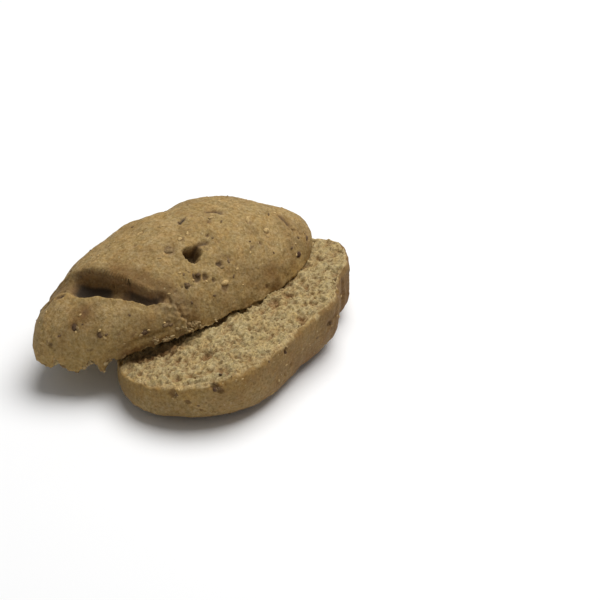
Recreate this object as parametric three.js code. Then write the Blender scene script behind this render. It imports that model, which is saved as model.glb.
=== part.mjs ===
// An oblong multigrain bread roll, sliced along its length.
// The upper half lies on the lower half, slid towards the back and turned a little.
// Millimetres, +Z up. X runs along the lower half, and the front is at -Y.
// The origin is under the middle of the whole, on the surface that the roll rests on.

import * as THREE from "three";

// ---- driving dimensions ----

const GRID_CELLS = 26;

// lower half: outline of its cut face, then its height
const LOWER_HALF_LENGTH = 55.7;
const LOWER_HALF_WIDTH = 33.2;
const LOWER_SQUARENESS = 2.25;
const LOWER_HEIGHT = 18.3;
const LOWER_RISE_ALONG = 0.027;
const LOWER_FALL_TO_BACK = 0.178;
const LOWER_CROWN = 0.6;
const LOWER_SIDE_SQUARENESS = 3.9;
const LOWER_SIDE_TURN_UNDER = 106;
const LOWER_FLAT_SHARE = 0.04;

// upper half: outline of its cut face, then its dome
const UPPER_HALF_LENGTH = 60.5;
const UPPER_HALF_WIDTH = 30;
const UPPER_SQUARENESS = 1.96;
const UPPER_HEIGHT = 29.4;
const UPPER_DOME_SQUARENESS = 1.9;
const UPPER_SIDE_TURN_UNDER = 100;
const UPPER_FRONT_TURN_UNDER = 76;
const UPPER_CRUMB_SAG = 2.0;
const TORN_END_DROP = 3.3;
const TORN_END_REACH = 18;

// where the upper half lies on the lower one
const UPPER_PLACE = new THREE.Vector3(-0.7, 26.3, 17.2);
const UPPER_TURN = -17.3;
const UPPER_TILT_BACK = 6.9;
const UPPER_TILT_LEFT = 2.4;

// rounder or flatter places along an outline: its direction and half-width in degrees, and its share
const LOWER_SWELLS = [
  { at: -130, spread: 20, share: 0.048 },
  { at: -98, spread: 18, share: -0.074 },
  { at: -55, spread: 16, share: -0.114 },
  { at: 0, spread: 25, share: 0.028 },
  { at: -6, spread: 12, share: 0.018 },
  { at: -31, spread: 9, share: -0.03 },
];
const UPPER_SWELLS = [
  { at: -50, spread: 18, share: 0.017 },
  { at: 5, spread: 22, share: -0.046 },
  { at: 180, spread: 17, share: 0.034 },
];

// where the base draws in further than the cut face, and where the dome meets its rim at a slope
const LOWER_BASE_SWELLS = [
  { at: -82, spread: 22, share: -0.07 },
  { at: -138, spread: 17, share: -0.06 },
  { at: -165, spread: 14, share: -0.035 },
];
const UPPER_FRONT = { at: -78, spread: 42, share: 1 };

// soft rises and hollows of the dome: place, half-widths, heading in degrees and height
const DOME_SWELLS = [
  { x: 16, y: 12, along: 24, across: 9, heading: -8, height: 1.5 },
  { x: 7, y: 15, along: 5.5, across: 7, heading: 0, height: -2 },
  { x: -9.5, y: 17, along: 5, across: 6, heading: 0, height: 1.1 },
  { x: -41, y: 18, along: 7, across: 6, heading: 40, height: -2.4 },
  { x: 46, y: 4, along: 9, across: 7, heading: -20, height: -1.9 },
  { x: 10, y: -26, along: 16, across: 5, heading: 0, height: 0.8 },
  { x: -35, y: -9, along: 14, across: 5, heading: -62, height: -5.5 },
];

// ---- shapes ----

const radians = THREE.MathUtils.degToRad;

// The square -1..1 by -1..1 laid onto the unit disc, ring by ring.
function discPoint(u, v) {
  const wide = Math.abs(u) >= Math.abs(v);
  const radius = wide ? u : v;
  if (radius === 0) {
    return { share: 0, angle: 0 };
  }
  const angle = wide ? (Math.PI / 4) * (v / u) : Math.PI / 2 - (Math.PI / 4) * (u / v);
  const x = radius * Math.cos(angle);
  const y = radius * Math.sin(angle);
  return { share: Math.abs(radius), angle: Math.atan2(y, x) };
}

function signedPower(value, power) {
  return Math.sign(value) * Math.abs(value) ** power;
}

// How far an angle is from a direction in degrees, the short way round.
function degreesApart(angle, direction) {
  const turn = THREE.MathUtils.radToDeg(angle) - direction;
  return turn - 360 * Math.round(turn / 360);
}

// How much an outline swells in a direction.
function swellShare(angle, swells) {
  let share = 0;
  for (const swell of swells) {
    share += swell.share * Math.exp(-((degreesApart(angle, swell.at) / swell.spread) ** 2));
  }
  return share;
}

// A superellipse, swollen or flattened at named places.
function outlinePoint(angle, halfLength, halfWidth, squareness, swells) {
  const share = 1 + swellShare(angle, swells);
  const x = halfLength * signedPower(Math.cos(angle), 2 / squareness) * share;
  const y = halfWidth * signedPower(Math.sin(angle), 2 / squareness) * share;
  return new THREE.Vector2(x, y);
}

// A superelliptic arc from the middle (share 0) past its widest line to the rim (share 1).
function sideProfile(share, squareness, endDegrees) {
  const end = radians(endDegrees);
  const reach = signedPower(Math.sin(end), 2 / squareness);
  const rise = 1 - signedPower(Math.cos(end), 2 / squareness);
  const turn = share * end;
  return {
    out: signedPower(Math.sin(turn), 2 / squareness) / reach,
    up: (1 - signedPower(Math.cos(turn), 2 / squareness)) / rise,
  };
}

// A soft oval rise that fades to nothing.
function swellHeight(x, y, swell) {
  const cos = Math.cos(radians(swell.heading));
  const sin = Math.sin(radians(swell.heading));
  const along = (cos * (x - swell.x) + sin * (y - swell.y)) / swell.along;
  const across = (cos * (y - swell.y) - sin * (x - swell.x)) / swell.across;
  return swell.height * Math.exp(-(along ** 2) - across ** 2);
}

// Two square sheets of points joined along their edges into one closed body.
// crust and crumb each give the point at a share of the way out and an angle round.
function pillowGeometry(crust, crumb, crustIsOnTop) {
  const side = GRID_CELLS + 1;
  const points = [];
  const crustIndex = [];
  const crumbIndex = [];
  for (let row = 0; row < side; row += 1) {
    for (let column = 0; column < side; column += 1) {
      const place = discPoint((2 * column) / GRID_CELLS - 1, (2 * row) / GRID_CELLS - 1);
      const onRim = row === 0 || column === 0 || row === GRID_CELLS || column === GRID_CELLS;
      crustIndex.push(points.length);
      points.push(crust(place.share, place.angle));
      if (onRim) {
        crumbIndex.push(points.length - 1);
      } else {
        crumbIndex.push(points.length);
        points.push(crumb(place.share, place.angle));
      }
    }
  }
  const faces = [];
  addSheet(faces, crustIndex, crustIsOnTop);
  addSheet(faces, crumbIndex, !crustIsOnTop);
  const geometry = new THREE.BufferGeometry().setFromPoints(points);
  geometry.setIndex(faces);
  geometry.computeVertexNormals();
  return geometry;
}

// The cells of one sheet, each cut along the diagonal that points at the middle.
function addSheet(faces, index, facesUp) {
  const side = GRID_CELLS + 1;
  const middle = GRID_CELLS / 2;
  for (let row = 0; row < GRID_CELLS; row += 1) {
    for (let column = 0; column < GRID_CELLS; column += 1) {
      const a = index[row * side + column];
      const b = index[row * side + column + 1];
      const c = index[(row + 1) * side + column + 1];
      const d = index[(row + 1) * side + column];
      const sameSide = row < middle === column < middle;
      const cell = sameSide ? [a, b, c, a, c, d] : [a, b, d, b, c, d];
      faces.push(...(facesUp ? cell : cell.reverse()));
    }
  }
}

// ---- lower half ----

function lowerFaceHeight(x, y) {
  const across = y / LOWER_HALF_WIDTH;
  const along = x / LOWER_HALF_LENGTH;
  const crown = LOWER_CROWN * Math.max(0, 1 - along ** 2 - across ** 2);
  return LOWER_HEIGHT + LOWER_RISE_ALONG * x - LOWER_FALL_TO_BACK * y + crown;
}

function lowerOutline(angle) {
  return outlinePoint(angle, LOWER_HALF_LENGTH, LOWER_HALF_WIDTH, LOWER_SQUARENESS, LOWER_SWELLS);
}

function lowerCrust(share, angle) {
  const rim = lowerOutline(angle);
  const side = sideProfile(share, LOWER_SIDE_SQUARENESS, LOWER_SIDE_TURN_UNDER);
  const up = Math.max(0, side.up - LOWER_FLAT_SHARE) / (1 - LOWER_FLAT_SHARE);
  const out = side.out * (1 + swellShare(angle, LOWER_BASE_SWELLS) * Math.max(0, 1 - up) ** 1.5);
  return new THREE.Vector3(rim.x * out, rim.y * out, up * lowerFaceHeight(rim.x, rim.y));
}

function lowerCrumb(share, angle) {
  const rim = lowerOutline(angle);
  const x = rim.x * share;
  const y = rim.y * share;
  return new THREE.Vector3(x, y, lowerFaceHeight(x, y));
}

const lowerHalf = new THREE.Mesh(
  pillowGeometry(lowerCrust, lowerCrumb, false),
  new THREE.MeshStandardMaterial({ color: 0x8a6f4a, roughness: 0.85, metalness: 0 }),
);
lowerHalf.name = "lower_half";

// ---- upper half ----

function upperOutline(angle) {
  return outlinePoint(angle, UPPER_HALF_LENGTH, UPPER_HALF_WIDTH, UPPER_SQUARENESS, UPPER_SWELLS);
}

// The rim of the torn end hangs below the cut.
function upperRimHeight(x) {
  return -TORN_END_DROP * Math.exp(-(((x + UPPER_HALF_LENGTH) / TORN_END_REACH) ** 2));
}

function upperCrust(share, angle) {
  const rim = upperOutline(angle);
  const front = swellShare(angle, [UPPER_FRONT]);
  const under = sideProfile(share, UPPER_DOME_SQUARENESS, UPPER_SIDE_TURN_UNDER);
  const sloped = sideProfile(share, UPPER_DOME_SQUARENESS, UPPER_FRONT_TURN_UNDER);
  const out = THREE.MathUtils.lerp(under.out, sloped.out, front);
  const up = THREE.MathUtils.lerp(under.up, sloped.up, front);
  const x = rim.x * out;
  const y = rim.y * out;
  let z = upperRimHeight(rim.x) * up ** 2 + UPPER_HEIGHT * (1 - up);
  for (const swell of DOME_SWELLS) {
    z += (1 - share ** 6) * swellHeight(x, y, swell);
  }
  return new THREE.Vector3(x, y, z);
}

function upperCrumb(share, angle) {
  const rim = upperOutline(angle);
  const sag = UPPER_CRUMB_SAG * (1 - share ** 2);
  return new THREE.Vector3(rim.x * share, rim.y * share, upperRimHeight(rim.x) * share ** 2 - sag);
}

const upperHalf = new THREE.Mesh(
  pillowGeometry(upperCrust, upperCrumb, true),
  new THREE.MeshStandardMaterial({ color: 0x9c804f, roughness: 0.85, metalness: 0 }),
);
upperHalf.name = "upper_half";
upperHalf.position.copy(UPPER_PLACE);
upperHalf.rotation.set(-radians(UPPER_TILT_BACK), -radians(UPPER_TILT_LEFT), radians(UPPER_TURN), "ZXY");

// ---- the whole roll, centred over its origin ----

const breadRoll = new THREE.Group();
breadRoll.add(lowerHalf, upperHalf);
breadRoll.updateMatrixWorld(true);
const middle = new THREE.Box3().setFromObject(breadRoll, true).getCenter(new THREE.Vector3());
breadRoll.position.set(-middle.x, -middle.y, 0);

export default breadRoll;
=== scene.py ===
"""An oblong multigrain bread roll, sliced along its length.

The domed upper half lies askew on the flat lower half, so the crumb shows along the front. Each half is
one closed surface: two square sheets of points, crust and crumb, laid onto the half's outline and joined
at the rim.
"""

from itertools import product
from types import SimpleNamespace

import bpy
import numpy as np
from bpy.props import FloatProperty, FloatVectorProperty, PointerProperty
from bpy.types import Operator, Panel, PropertyGroup
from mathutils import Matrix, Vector


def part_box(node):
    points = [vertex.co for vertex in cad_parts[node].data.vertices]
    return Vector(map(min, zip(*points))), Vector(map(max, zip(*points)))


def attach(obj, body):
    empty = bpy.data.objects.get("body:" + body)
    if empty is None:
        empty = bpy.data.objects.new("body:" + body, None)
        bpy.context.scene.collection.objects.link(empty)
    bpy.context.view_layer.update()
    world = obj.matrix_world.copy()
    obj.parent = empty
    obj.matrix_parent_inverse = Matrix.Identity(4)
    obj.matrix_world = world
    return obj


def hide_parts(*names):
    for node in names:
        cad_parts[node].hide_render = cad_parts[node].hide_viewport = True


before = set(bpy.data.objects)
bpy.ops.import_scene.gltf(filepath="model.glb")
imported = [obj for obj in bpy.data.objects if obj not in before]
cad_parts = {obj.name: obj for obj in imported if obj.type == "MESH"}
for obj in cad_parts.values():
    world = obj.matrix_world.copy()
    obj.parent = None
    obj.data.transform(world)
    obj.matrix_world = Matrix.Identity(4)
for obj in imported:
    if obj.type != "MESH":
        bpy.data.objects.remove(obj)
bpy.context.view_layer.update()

bl_info = {
    "name": "Bread roll",
    "version": (1, 0, 0),
    "blender": (4, 5, 0),
    "location": "3D View > Sidebar > Bread",
    "description": "Makes a sliced multigrain roll with a torn crust and an open crumb",
    "category": "Object",
}

MM = 0.001
# Cells along each side of a sheet.
CELLS = 222
# Point attributes: where the crust is, how baked it is (painted light and shade are mixed into it too), how
# golden, the painted shade in hollows and under overhangs, and how torn.
ATTRIBUTES = ("crust", "baked", "golden", "hollow", "torn")


# ---- sizes and colours ----


def length(name, description, default):
    """A length in metres that the sidebar shows with its unit."""
    return FloatProperty(name=name, description=description, default=default, unit="LENGTH")


def colour(name, description, default):
    """A linear red, green and blue."""
    return FloatVectorProperty(
        name=name, description=description, default=default, subtype="COLOR", size=3, min=0.0, max=1.0
    )


class RollShape(PropertyGroup):
    """The driving sizes of both halves, the same as the solids' own."""

    lower_half_length: length("Lower half length", "Half the length of the lower cut face", 55.7 * MM)
    lower_half_width: length("Lower half width", "Half the width of the lower cut face", 33.2 * MM)
    lower_height: length("Lower height", "Height of the lower cut face at its middle", 18.3 * MM)
    upper_half_length: length("Upper half length", "Half the length of the upper cut face", 60.5 * MM)
    upper_half_width: length("Upper half width", "Half the width of the upper cut face", 30.0 * MM)
    upper_height: length("Upper height", "Height of the dome above its cut face", 29.4 * MM)


class RollLook(PropertyGroup):
    """The colours of crust, crumb and seeds."""

    crust_pale: colour("Pale crust", "Crust where it is baked least", (0.385, 0.262, 0.112))
    crust_gold: colour("Golden crust", "Crust on ridges and near the rims", (0.36, 0.230, 0.075))
    crust_olive: colour("Olive crust", "The darker mottling of the crust", (0.205, 0.145, 0.048))
    crust_brown: colour("Brown crust", "Crust where it is baked most", (0.195, 0.108, 0.034))
    # On the cut face the crumb colours follow its painted shade: painted light on the tufts' tips, painted
    # shade deep in the pores.
    crumb_light: colour("Light crumb", "Tips of the tufts", (0.54, 0.42, 0.222))
    crumb_pale: colour("Pale crumb", "Raised crumb", (0.42, 0.315, 0.145))
    crumb_deep: colour("Deep crumb", "Crumb inside the pores", (0.225, 0.125, 0.045))
    # Pit brown is the shallow pits' own brown, darkened as painted shade. The hollow's dark is painted shade
    # at the bottom of pits, cracks, the crease and the burst hole, and it also tints the crust's dark specks.
    pit_brown: colour("Pit", "The inside of shallow pits", (0.135, 0.068, 0.036))
    hollow_dark: colour("Hollow", "The bottom of pits and cracks", (0.045, 0.030, 0.018))
    seed_pale: colour("Pale seeds", "Oat and wheat flakes", (0.56, 0.40, 0.18))
    seed_dark: colour("Dark seeds", "Linseed and baked grains", (0.085, 0.048, 0.030))


# ---- noise ----

# Odd numbers and shifts that mix the bits of a cell's numbers and its seed.
CELL_MIXERS = (0x9E3779B97F4A7C15, 0xC2B2AE3D27D4EB4F, 0x165667B19E3779F9)
SEED_MIXER = 0xD6E8FEB86659FD93
BIT_MIXERS = ((29, 0xBF58476D1CE4E5B9), (32, 0x94D049BB133111EB))
LAST_SHIFT = 31
HASH_TOP = 0xFFFFFF
# Each layer of noise is seeded this far from the one before.
LAYER_SEED_STEP = 17
# Radii of pores, in cells of the noise: the smallest, how much more the largest has, and that of no pore.
PORE_RADIUS = 0.25
PORE_RADIUS_SPREAD = 0.45
NO_PORE = 1e-6
# Farther away than anything that is looked for, in cells or in metres.
FAR = 9.0


def hashed(cell, seed):
    """A repeatable number from 0 to 1 for each cell of three whole numbers.

    Their products with fixed odd numbers are joined by exclusive or, and the bits are mixed.
    """
    with np.errstate(over="ignore"):
        c = cell.astype(np.int64).astype(np.uint64)
        n = np.uint64(seed + 1) * np.uint64(SEED_MIXER)
        for axis, mixer in enumerate(CELL_MIXERS):
            n = n ^ c[..., axis] * np.uint64(mixer)
        for shift, mixer in BIT_MIXERS:
            n = (n ^ (n >> np.uint64(shift))) * np.uint64(mixer)
        n = n ^ (n >> np.uint64(LAST_SHIFT))
    return (n & np.uint64(HASH_TOP)).astype(float) / HASH_TOP


def smooth_noise(points, size, seed):
    """Value noise: random heights from -1 to 1 on a lattice, blended by 6t^5 - 15t^4 + 10t^3."""
    place = points / size
    base = np.floor(place)
    t = place - base
    t = t * t * t * (t * (t * 6 - 15) + 10)
    total = np.zeros(points.shape[:-1])
    for corner in product((0, 1), repeat=3):
        weight = np.prod(np.where(corner, t, 1 - t), axis=-1)
        total += weight * hashed(base + np.array(corner), seed)
    return total * 2 - 1


def layered_noise(points, size, layers, seed):
    """Value noise summed over layers, each half the size and height of the one before."""
    seeds = [seed + LAYER_SEED_STEP * k for k in range(layers)]
    return sum(smooth_noise(points, size / 2**k, own) / 2**k for k, own in enumerate(seeds))


def drifted(points, amount, size, seed):
    """Points moved by an amount times three value noises, one for each axis."""
    return points + amount * np.stack([smooth_noise(points, size, seed + k) for k in range(3)], axis=-1)


def nearest_spot(points, size, seed):
    """Cellular noise, one random spot in each cell: the distance to the nearest spot, and its own number."""
    place = points / size
    base = np.floor(place)
    nearest = np.full(points.shape[:-1], FAR)
    number = np.zeros(points.shape[:-1])
    for step in product((-1, 0, 1), repeat=3):
        cell = base + np.array(step)
        spot = cell + np.stack([hashed(cell, seed + k) for k in (1, 2, 3)], axis=-1)
        apart = np.linalg.norm(place - spot, axis=-1)
        closer = apart < nearest
        nearest = np.where(closer, apart, nearest)
        number = np.where(closer, hashed(cell, seed + 4), number)
    return nearest, number


def pores(points, size, share, seed):
    """Round hollows, 1 at their middle and 0 outside: a share of the cells hold one, of random radius."""
    apart, number = nearest_spot(points, size, seed)
    radius = np.where(number < share, PORE_RADIUS + PORE_RADIUS_SPREAD * number / share, NO_PORE)
    return np.clip(1 - (apart / radius) ** 2, 0, 1)


# ---- surfaces ----

# A side profile is spaced by its length, with its rise counting this much.
PROFILE_POINTS = 2001
RISE_WEIGHT = 0.7


def smooth_step(low, high, value):
    """0 below low, 1 above high and 3t^2 - 2t^3 between."""
    t = np.clip((value - low) / (high - low), 0, 1)
    return t * t * (3 - 2 * t)


def bell(distance, reach):
    """A Gaussian: 1 at no distance and 1/e at the reach."""
    return np.exp(-((distance / reach) ** 2))


def disc_grid():
    """A square grid laid onto the unit disc ring by ring: each point's share of the way out and its angle."""
    line = np.linspace(-1, 1, CELLS + 1)
    u, v = np.meshgrid(line, line, indexing="xy")
    wide = np.abs(u) >= np.abs(v)
    radius = np.where(wide, u, v)
    safe = np.where(radius == 0, 1, radius)
    angle = np.where(wide, np.pi / 4 * v / safe, np.pi / 2 - np.pi / 4 * u / safe)
    return np.abs(radius), np.arctan2(radius * np.sin(angle), radius * np.cos(angle))


def signed_power(value, power):
    return np.sign(value) * np.abs(value) ** power


def towards(angle, direction, spread):
    """A bell of how far an angle is from a direction the short way round. The last two are in degrees."""
    turn = np.degrees(angle) - direction
    return bell(turn - 360 * np.round(turn / 360), spread)


def swell_share(angle, swells):
    """The sum of the share of each (direction, spread, share) times its bell of the angle."""
    return sum(share * towards(angle, direction, spread) for direction, spread, share in swells)


def outline(angle, half_length, half_width, squareness, swells):
    """A superellipse, times 1 plus its swells."""
    share = 1 + swell_share(angle, swells)
    x = half_length * signed_power(np.cos(angle), 2 / squareness) * share
    y = half_width * signed_power(np.sin(angle), 2 / squareness) * share
    return x, y


def side_profile(share, squareness, end_degrees):
    """How far out and up a superelliptic arc is, evenly spaced from its middle (0) to its rim (1)."""
    end = np.radians(end_degrees)
    turn = end * np.linspace(0, 1, PROFILE_POINTS) ** 1.5
    out = signed_power(np.sin(turn), 2 / squareness) / np.sin(end) ** (2 / squareness)
    up = (1 - signed_power(np.cos(turn), 2 / squareness)) / (1 - signed_power(np.cos(end), 2 / squareness))
    way = np.concatenate([[0], np.cumsum(np.hypot(np.diff(out), RISE_WEIGHT * np.diff(up)))])
    way /= way[-1]
    return np.interp(share, way, out), np.interp(share, way, up)


def oval(x, y, place, reach, heading):
    """A soft oval: the Gaussian of the distances along and across a heading, each over its reach."""
    cos, sin = np.cos(np.radians(heading)), np.sin(np.radians(heading))
    along = (cos * (x - place[0]) + sin * (y - place[1])) / reach[0]
    across = (cos * (y - place[1]) - sin * (x - place[0])) / reach[1]
    return np.exp(-(along**2) - across**2)


def normals(points):
    """Unit normals of a grid of points: the cross product of its two slopes, pointing to +Z at the middle."""
    n = np.cross(np.gradient(points, axis=1), np.gradient(points, axis=0))
    n /= np.linalg.norm(n, axis=-1, keepdims=True) + 1e-12
    middle = CELLS // 2
    return n * np.sign(n[middle, middle, 2])


def path_distance(points, path):
    """The distance of each point from a chain of straight lines (its corners in millimetres).

    Also gives how far along the chain the nearest place is, 0 to 1.
    """
    path = np.array(path) * MM
    nearest = np.full(points.shape[:-1], FAR)
    way = np.zeros(points.shape[:-1])
    for k, (start, run) in enumerate(zip(path[:-1], np.diff(path, axis=0))):
        t = np.clip((points - start) @ run / (run @ run), 0, 1)
        apart = np.linalg.norm(points - start - t[..., None] * run, axis=-1)
        closer = apart < nearest
        nearest = np.where(closer, apart, nearest)
        way = np.where(closer, (k + t) / (len(path) - 1), way)
    return nearest, way


def drawn_in(points, out, path, reach, pull):
    """Points drawn along their sheet towards a path, by pull times their offset, fading as a bell."""
    offset = np.mean(np.array(path) * MM, axis=0) - points
    offset -= out * np.sum(offset * out, axis=-1, keepdims=True)
    near = bell(path_distance(points, path)[0], reach)
    return points + pull * offset * near[..., None]


def on_sheet(points, path):
    """The sheet's own points that are nearest to these places (millimetres), in millimetres."""
    flat = points.reshape(-1, 3)
    return flat[[np.argmin(np.sum((flat - np.array(place) * MM) ** 2, axis=-1)) for place in path]] / MM


def from_centres(points, places, drift, size, seed):
    """For each place (x, y, z, reach, amount): the bent distance from it over its reach, and its amount."""
    bent = drifted(points, drift, size, seed)
    centres = on_sheet(points, [place[:3] for place in places])
    for centre, (_, _, _, reach, amount) in zip(centres, places):
        yield np.linalg.norm(bent - centre * MM, axis=-1) / (reach * MM), amount


def marks(points, places):
    """Pits at chosen places: a soft-edged dish of each one's radius and depth, and its shade."""
    depth = np.zeros(points.shape[:-1])
    shade = np.zeros(points.shape[:-1])
    for apart, deep in from_centres(points, places, 0.4 * MM, 1.4 * MM, 71):
        dish = smooth_step(0, 0.8, np.clip(1 - apart**2, 0, 1))
        depth = np.maximum(depth, dish * deep * MM)
        shade = np.maximum(shade, dish * min(1, 0.35 + 0.4 * deep))
    return depth, shade


def cracks(points, paths, width, deep):
    """Narrow grooves along paths, as a bell of the distance across, and their shade."""
    groove = np.zeros(points.shape[:-1])
    bent = drifted(points, 0.4 * MM, 1.4 * MM, 75)
    for path in paths:
        apart, _ = path_distance(bent, on_sheet(points, path))
        groove = np.maximum(groove, bell(apart, width))
    return groove * deep, groove


def soft_spots(points, places):
    """The sum of a bell around each place, times its amount."""
    spots = from_centres(points, places, 1.5 * MM, 3 * MM, 79)
    return sum(amount * bell(apart, 1) for apart, amount in spots)


def scattered_pits(points, seed):
    """Small pits in half of the cells of a cellular noise: depth and shade."""
    apart, number = nearest_spot(drifted(points, 0.5 * MM, 1.2 * MM, seed + 5), 4.2 * MM, seed)
    pit = np.clip(1 - (apart / (0.08 + 0.16 * number)) ** 2, 0, 1) * (number < 0.5)
    return 0.3 * MM * pit, 0.5 * pit


def join_sheets(crust, crumb, crust_on_top):
    """The closed body between two sheets that share a rim: rows of x, y, z and attributes, and quads."""
    side = CELLS + 1
    index = np.arange(side * side).reshape(side, side)
    inner = np.zeros((side, side), bool)
    inner[1:-1, 1:-1] = True
    crumb_index = index.copy()
    crumb_index[inner] = side * side + np.arange(inner.sum())
    rows = np.concatenate([crust.reshape(-1, crust.shape[-1]), crumb[inner]])

    def quads(k, up):
        q = np.stack([k[:-1, :-1], k[:-1, 1:], k[1:, 1:], k[1:, :-1]], axis=-1).reshape(-1, 4)
        return q if up else q[:, ::-1]

    return rows, np.concatenate([quads(index, crust_on_top), quads(crumb_index, not crust_on_top)])


def with_values(points, **values):
    """A sheet's points with its attributes beside them, in the order of ATTRIBUTES; those not given are 0."""
    filled = [np.broadcast_to(values.get(key, 0.0), points.shape[:-1]) for key in ATTRIBUTES]
    return np.concatenate([points, np.stack(filled, axis=-1)], axis=-1)


def add_mesh(name, points, face_sets, values):
    """A smooth mesh object of points (metres, the frame's own), arrays of faces and point attributes."""
    mesh = bpy.data.meshes.new(name)
    sides = np.concatenate([np.full(len(faces), faces.shape[1]) for faces in face_sets])
    corners = np.concatenate([faces.ravel() for faces in face_sets])
    mesh.vertices.add(len(points))
    mesh.vertices.foreach_set("co", points.astype(np.float32).ravel())
    mesh.loops.add(len(corners))
    mesh.loops.foreach_set("vertex_index", corners.astype(np.int32))
    mesh.polygons.add(len(sides))
    starts = np.concatenate([[0], np.cumsum(sides)[:-1]])
    mesh.polygons.foreach_set("loop_start", starts.astype(np.int32))
    mesh.polygons.foreach_set("use_smooth", np.ones(len(sides), bool))
    mesh.update(calc_edges=True)
    for key, numbers in values.items():
        attribute = mesh.attributes.new(key, "FLOAT", "POINT")
        attribute.data.foreach_set("value", numbers.astype(np.float32))
    mesh.validate()
    thing = bpy.data.objects.new(name, mesh)
    bpy.context.scene.collection.objects.link(thing)
    return thing


# ---- lower half ----

# The cut face's outline, slope and crown, and the side's profile down to the base (its turn in degrees).
LOWER_SQUARENESS = 2.25
LOWER_RISE_ALONG = 0.027
LOWER_FALL_TO_BACK = 0.178
LOWER_CROWN = 0.6 * MM
LOWER_SIDE_SQUARENESS = 3.9
LOWER_SIDE_TURN_UNDER = 106
LOWER_FLAT_SHARE = 0.04
# Swells of an outline, and of how far the base draws in: direction and spread (degrees), share.
LOWER_SWELLS = (
    (-130, 20, 0.048),
    (-98, 18, -0.074),
    (-55, 16, -0.114),
    (0, 25, 0.028),
    (-6, 12, 0.018),
    (-31, 9, -0.03),
)
LOWER_BASE_SWELLS = ((-82, 22, -0.07), (-138, 17, -0.06), (-165, 14, -0.035))

# Pits: x, y, z in their half's own place, radius, depth, all in millimetres.
LOWER_SIDE_PITS = (
    (-55.2, -9.4, 15.8, 2.0, 0.9),
    (-53.5, -14.0, 13.0, 1.2, 0.7),
    (-47.8, -21.5, 19.2, 2.0, 1.1),
    (-46.0, -22.6, 17.2, 1.5, 0.9),
    (-17.5, -30.8, 20.0, 1.1, 0.8),
    (-17.7, -30.9, 10.5, 0.8, 0.5),
    (-50.9, -17.9, 9.3, 0.9, 0.5),
    (-13.8, -30.9, 12.2, 1.0, 0.6),
    (30.0, -26.5, 17.0, 1.2, 0.7),
)
CRUMB_PITS = (
    (-32.6, -8.6, 18.8, 3.0, 2.6),
    (-35.4, -8.6, 18.7, 2.4, 1.4),
    (-30.2, -10.4, 19.2, 1.6, 1.2),
    (-34.6, -8.6, 18.8, 1.6, 1.8),
    (-3.5, -3.6, 18.8, 2.4, 2.2),
    (2.7, -6.5, 19.5, 1.3, 1.2),
    (-5.0, -19.3, 21.6, 0.9, 1.0),
    (-21.0, -14.6, 20.3, 1.5, 0.9),
    (-23.1, -10.0, 19.4, 1.3, 0.9),
    (12.0, -14.5, 21.2, 0.9, 0.9),
    (24.0, -12.2, 21.1, 1.5, 1.3),
    (-24.0, -2.3, 18.0, 1.0, 1.2),
    (-14.9, -3.0, 18.4, 0.9, 0.9),
    (-18.0, 7.2, 16.5, 1.4, 1.6),
    (-4.2, -19.3, 21.6, 1.1, 1.1),
    (-41.6, -21.0, 20.8, 0.9, 0.7),
    (-51.0, 8.0, 15.0, 1.8, 1.4),
)
# Folds at the right end, as paths of x, y, z in millimetres.
LOWER_PLEATS = (
    ((28.5, -26.0, 22.5), (20.5, -30.0, 20.0), (15.8, -31.5, 17.0), (10.0, -32.0, 16.0)),
    ((33.1, -24.1, 20.6), (34.6, -23.8, 12.7), (31.2, -25.0, 8.7)),
    ((40.0, -20.0, 20.0), (41.0, -19.5, 12.0)),
)
# Where the raised part of the upper front rim begins and ends, in degrees round the upper half.
GAP_FROM_TO = (-138, -104)
# How far the details reach and how deep they go.
GAP_REACH = 3.4 * MM
GAP_DEPTH = 2.3 * MM
PLEAT_WIDTH = 1.1 * MM
PLEAT_DEPTH = 0.9 * MM
RIM_SET_BACK = 0.9 * MM
CRUMB_SWELL = 0.35 * MM


def lower_face_height(shape, x, y):
    """A plane that rises along X and falls to the back, plus a slight crown."""
    crown = np.clip(1 - (x / shape.lower_half_length) ** 2 - (y / shape.lower_half_width) ** 2, 0, 1)
    return shape.lower_height + LOWER_RISE_ALONG * x - LOWER_FALL_TO_BACK * y + LOWER_CROWN * crown


def lower_plain(shape):
    """The lower half's crust and crumb sheets before any detail."""
    share, angle = disc_grid()
    rim_x, rim_y = outline(
        angle, shape.lower_half_length, shape.lower_half_width, LOWER_SQUARENESS, LOWER_SWELLS
    )
    out, up = side_profile(share, LOWER_SIDE_SQUARENESS, LOWER_SIDE_TURN_UNDER)
    up = np.clip(up - LOWER_FLAT_SHARE, 0, 1) / (1 - LOWER_FLAT_SHARE)
    out = out * (1 + swell_share(angle, LOWER_BASE_SWELLS) * (1 - up) ** 1.5)
    crust = np.stack([rim_x * out, rim_y * out, up * lower_face_height(shape, rim_x, rim_y)], axis=-1)
    x, y = rim_x * share, rim_y * share
    return share, angle, crust, np.stack([x, y, lower_face_height(shape, x, y)], axis=-1)


def crumb_relief(points, seed):
    """Height of cut crumb over its plane, and its painted shade.

    Soft swells carry tufts and flakes. Tufts are value noise at two sizes, and flakes are 1 less the size
    of two more, so that they stand in thin ridges. Scattered pores go down between them. All but the swells
    are bent by a third noise. The painted shade is darkest where tufts and flakes are low and in the pores,
    and lightest on the high tufts.
    """
    bent = drifted(points, 0.8 * MM, 2.2 * MM, seed + 50)
    swells = CRUMB_SWELL * layered_noise(points, 11 * MM, 2, seed)
    ridges = np.abs(smooth_noise(bent, 2.6 * MM, seed + 1))
    flakes = 1 - 2 * ridges - 1.3 * np.abs(smooth_noise(bent, 1.4 * MM, seed + 2))
    tufts = smooth_noise(bent, 4.5 * MM, seed + 3) + 0.8 * smooth_noise(bent, 1.1 * MM, seed + 5)
    big = pores(bent, 6.5 * MM, 0.2, seed + 4)
    height = swells + MM * (0.64 * tufts + 0.75 * flakes - 0.9 * big)
    return height, np.clip(0.36 - 0.30 * tufts - 0.32 * flakes + 0.45 * big, 0, 1)


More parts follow.
